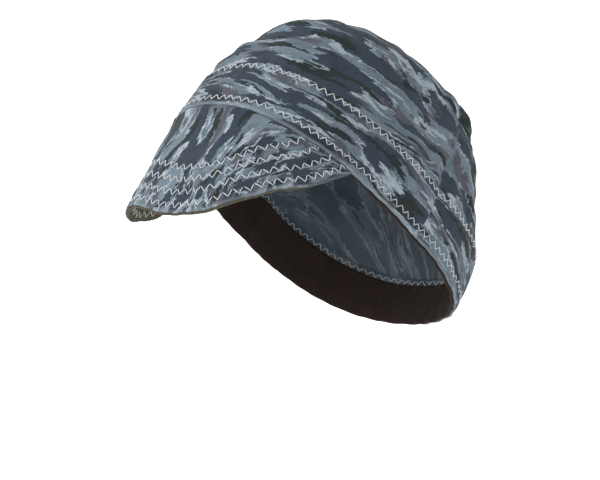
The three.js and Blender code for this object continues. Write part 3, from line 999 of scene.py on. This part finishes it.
def head_row(height, depth, count=900):
    """Middle line of a row round the band at a depth, with the way that it faces."""
    cap = form()
    turn = np.linspace(-math.pi, math.pi, count)
    rim = cap.rim_height(turn) if height < cap.shape.band_height / 2 else 0 * turn
    point, outward = cap.skin_at_height(turn, height + rim, 0 * turn + depth)
    return point, outward * (1 if depth <= 0 else -1)


def peak_rows(depth):
    """Middle lines of the rows of the peak at a depth, with the way that they face."""
    cap = form()
    stitch = bpy.context.scene.cap_stitching
    rows = []
    for k in range(stitch.peak_rows):
        across, down = cap.peak_row(stitch.first_row + stitch.peak_row_gap * k)
        smooth = np.linspace(across[0], across[-1], 700)
        down = np.interp(smooth, across, down)
        point, outward = cap.peak(smooth, down, 0 * down + depth)
        rows.append((point, outward * (1 if depth <= 0 else -1)))
    return rows


class CapOperator(bpy.types.Operator):
    """Base of the cap's operators."""
    bl_options = {"REGISTER", "UNDO"}


class CAP_OT_crown(CapOperator):
    """Makes the two panels of the crown."""
    bl_idname = "cap.crown"
    bl_label = "Crown"

    def execute(self, context):
        paint = finishes()
        for is_front, node in ((True, "crown_front"), (False, "crown_back")):
            piece = crown_panel(is_front)
            finish_piece(piece, "camouflage_cotton", [node], paint["print_face"], paint["print_reverse"])
        return {"FINISHED"}


class CAP_OT_band(CapOperator):
    """Makes the two halves of the band."""
    bl_idname = "cap.band"
    bl_label = "Band"

    def execute(self, context):
        paint = finishes()
        for is_front, node in ((True, "band_front"), (False, "band_back")):
            piece = band_panel(is_front)
            finish_piece(piece, "camouflage_cotton", [node], paint["print_face"], paint["print_reverse"])
        return {"FINISHED"}


class CAP_OT_peak(CapOperator):
    """Makes the outer cloth of the peak and its lining."""
    bl_idname = "cap.peak"
    bl_label = "Peak"

    def execute(self, context):
        paint = finishes()
        shape = context.scene.cap_shape
        outer = peak_ply("peak_cloth", 0.0, shape.peak_wall, 0.0, 63.0)
        finish_piece(outer, "camouflage_cotton", ["peak"], paint["print_face"], paint["print_reverse"])
        depth = shape.peak_wall + shape.seam_gap
        under = peak_ply("peak_lining_cloth", depth, shape.lining_wall, shape.lining_shows, 71.0)
        finish_piece(under, "khaki_cotton", ["peak_lining"], paint["lining_weave"], paint["lining_weave"])
        return {"FINISHED"}


class CAP_OT_sweatband(CapOperator):
    """Makes the dark sweatband inside the rim."""
    bl_idname = "cap.sweatband"
    bl_label = "Sweatband"

    def execute(self, context):
        paint = finishes()["sweatband_weave"]
        piece = sweatband_ring()
        finish_piece(piece, "dark_cotton", ["sweatband"], paint, paint)
        return {"FINISHED"}


class CAP_OT_stitching(CapOperator):
    """Sews the zigzag rows on the seam, the band and the peak."""
    bl_idname = "cap.stitching"
    bl_label = "Stitching"

    def execute(self, context):
        shape, stitch = context.scene.cap_shape, context.scene.cap_stitching
        proud = 0.3 * stitch.radius
        band = (stitch.pitch, stitch.height)
        peak = (stitch.peak_pitch, stitch.peak_height)
        lining = shape.peak_wall + shape.seam_gap + shape.lining_wall
        seam = head_row(shape.band_height - 0.0002, -proud - 0.0003)
        seam_inside = head_row(shape.band_height - 0.0022, shape.band_wall + proud)
        stitched_rows("seam_stitches", [seam, seam_inside], *band)
        stitched_rows("band_stitches", [head_row(stitch.band_row, -proud)], *band)
        stitched_rows("peak_stitches", peak_rows(-proud), *peak)
        stitched_rows("peak_stitches_below", peak_rows(lining + proud), *peak)
        return {"FINISHED"}


def pale_stage_finish(name, glow):
    material = bpy.data.materials.new(name)
    material.use_nodes = True
    surface = material.node_tree.nodes["Principled BSDF"]
    surface.inputs["Base Color"].default_value = (0.8, 0.8, 0.8, 1.0)
    surface.inputs["Roughness"].default_value = 0.9
    surface.inputs["Specular IOR Level"].default_value = 0.0
    surface.inputs["Emission Color"].default_value = (1.0, 1.0, 1.0, 1.0)
    surface.inputs["Emission Strength"].default_value = glow
    return material


def studio_floor(drop):
    """A round floor that sweeps up into a bright wall far behind the cap."""
    radii = [0.0, 0.5, 1.0, 1.4, 1.8, 2.2, 2.55, 2.8, 2.95, 3.0, 3.0]
    rises = [0.0, 0.0, 0.0, 0.0, 0.0, 0.0, 0.06, 0.2, 0.45, 0.8, 1.6]
    glows_from = 3
    sides = 64
    points, faces, marks = [], [], []
    for radius, rise in zip(radii, rises):
        for k in range(sides):
            a = 2 * math.pi * k / sides
            points.append((radius * math.cos(a), radius * math.sin(a), rise - drop))
    for j in range(len(radii) - 1):
        for k in range(sides):
            after = (k + 1) % sides
            faces.append((j * sides + k, j * sides + after, (j + 1) * sides + after, (j + 1) * sides + k))
            marks.append(int(j >= glows_from))
    mesh = bpy.data.meshes.new("studio_floor")
    mesh.from_pydata(points, [], faces)
    mesh.polygons.foreach_set("use_smooth", [True] * len(faces))
    mesh.polygons.foreach_set("material_index", marks)
    floor = bpy.data.objects.new("studio_floor", mesh)
    bpy.context.collection.objects.link(floor)
    mesh.materials.append(pale_stage_finish("pale_floor", 0.1))
    mesh.materials.append(pale_stage_finish("bright_wall", 0.75))


def area_light(name, place, aim, size, power):
    light = bpy.data.lights.new(name, "AREA")
    light.shape = "DISK"
    light.size = size
    light.energy = power
    lamp = bpy.data.objects.new(name, light)
    lamp.location = place
    lamp.rotation_mode = "QUATERNION"
    lamp.rotation_quaternion = (Vector(aim) - Vector(place)).to_track_quat("-Z", "Y")
    bpy.context.collection.objects.link(lamp)


# Lights of the studio: name, place, aim, size and power in watts
LIGHTS = (
    ("key", (-0.6, -1.3, 1.15), (0, -0.02, 0.03), 0.45, 22),
    ("side", (1.5, -0.9, 0.7), (0, 0, 0.03), 0.7, 3),
    ("top", (0.3, 0.4, 1.8), (0, 0, 0.05), 1.0, 3),
)
SKY_STRENGTH = 0.42


class CAP_OT_stage(CapOperator):
    """Makes the floor, the lights and the camera."""
    bl_idname = "cap.stage"
    bl_label = "Stage"

    def execute(self, context):
        scene = context.scene
        stage = scene.cap_stage
        studio_floor(stage.floor_drop)
        world = bpy.data.worlds.new("studio")
        world.use_nodes = True
        background = world.node_tree.nodes["Background"]
        background.inputs["Color"].default_value = (1.0, 1.0, 1.0, 1.0)
        background.inputs["Strength"].default_value = SKY_STRENGTH
        scene.world = world
        for light in LIGHTS:
            area_light(*light)
        scene.view_settings.view_transform = "Standard"
        self.place_camera(scene, stage)
        return {"FINISHED"}

    def place_camera(self, scene, stage):
        """Camera on a circle round the origin, moved so that the origin lies where it should."""
        wide, tall = stage.picture_width, stage.picture_height
        az, el = stage.azimuth, stage.elevation
        back = Vector((math.sin(az) * math.cos(el), -math.cos(az) * math.cos(el), math.sin(el)))
        right = Vector((math.cos(az), math.sin(az), 0))
        up = back.cross(right)
        scale = stage.pixels_per_metre
        data = bpy.data.cameras.new("camera")
        data.sensor_width = 36
        data.lens = data.sensor_width * scale * stage.distance / wide
        camera = bpy.data.objects.new("camera", data)
        shift = right * ((wide / 2 - stage.origin_x) / scale) + up * ((stage.origin_y - tall / 2) / scale)
        camera.location = back * stage.distance + shift
        camera.rotation_mode = "QUATERNION"
        camera.rotation_quaternion = (-back).to_track_quat("-Z", "Y")
        scene.collection.objects.link(camera)
        scene.camera = camera


class CAP_PT_panel(bpy.types.Panel):
    """Lists the cap's operators."""
    bl_label = "Cap"
    bl_idname = "CAP_PT_panel"
    bl_space_type = "VIEW_3D"
    bl_region_type = "UI"
    bl_category = "Cap"

    def draw(self, context):
        for operator in OPERATORS:
            self.layout.operator(operator.bl_idname)


GROUPS = {
    "cap_shape": CapShape,
    "cap_cloth": CapCloth,
    "cap_stitching": CapStitching,
    "cap_stage": CapStage,
}
OPERATORS = (CAP_OT_stage, CAP_OT_crown, CAP_OT_band, CAP_OT_peak, CAP_OT_sweatband, CAP_OT_stitching)


def register():
    for name, group in GROUPS.items():
        bpy.utils.register_class(group)
        setattr(bpy.types.Scene, name, PointerProperty(type=group))
    for operator in OPERATORS:
        bpy.utils.register_class(operator)
    bpy.utils.register_class(CAP_PT_panel)


def unregister():
    bpy.utils.unregister_class(CAP_PT_panel)
    for operator in reversed(OPERATORS):
        bpy.utils.unregister_class(operator)
    for name, group in GROUPS.items():
        delattr(bpy.types.Scene, name)
        bpy.utils.unregister_class(group)


def main():
    register()
    bpy.ops.cap.stage()
    bpy.ops.cap.crown()
    bpy.ops.cap.band()
    bpy.ops.cap.peak()
    bpy.ops.cap.sweatband()
    bpy.ops.cap.stitching()


if __name__ == "__main__":
    main()
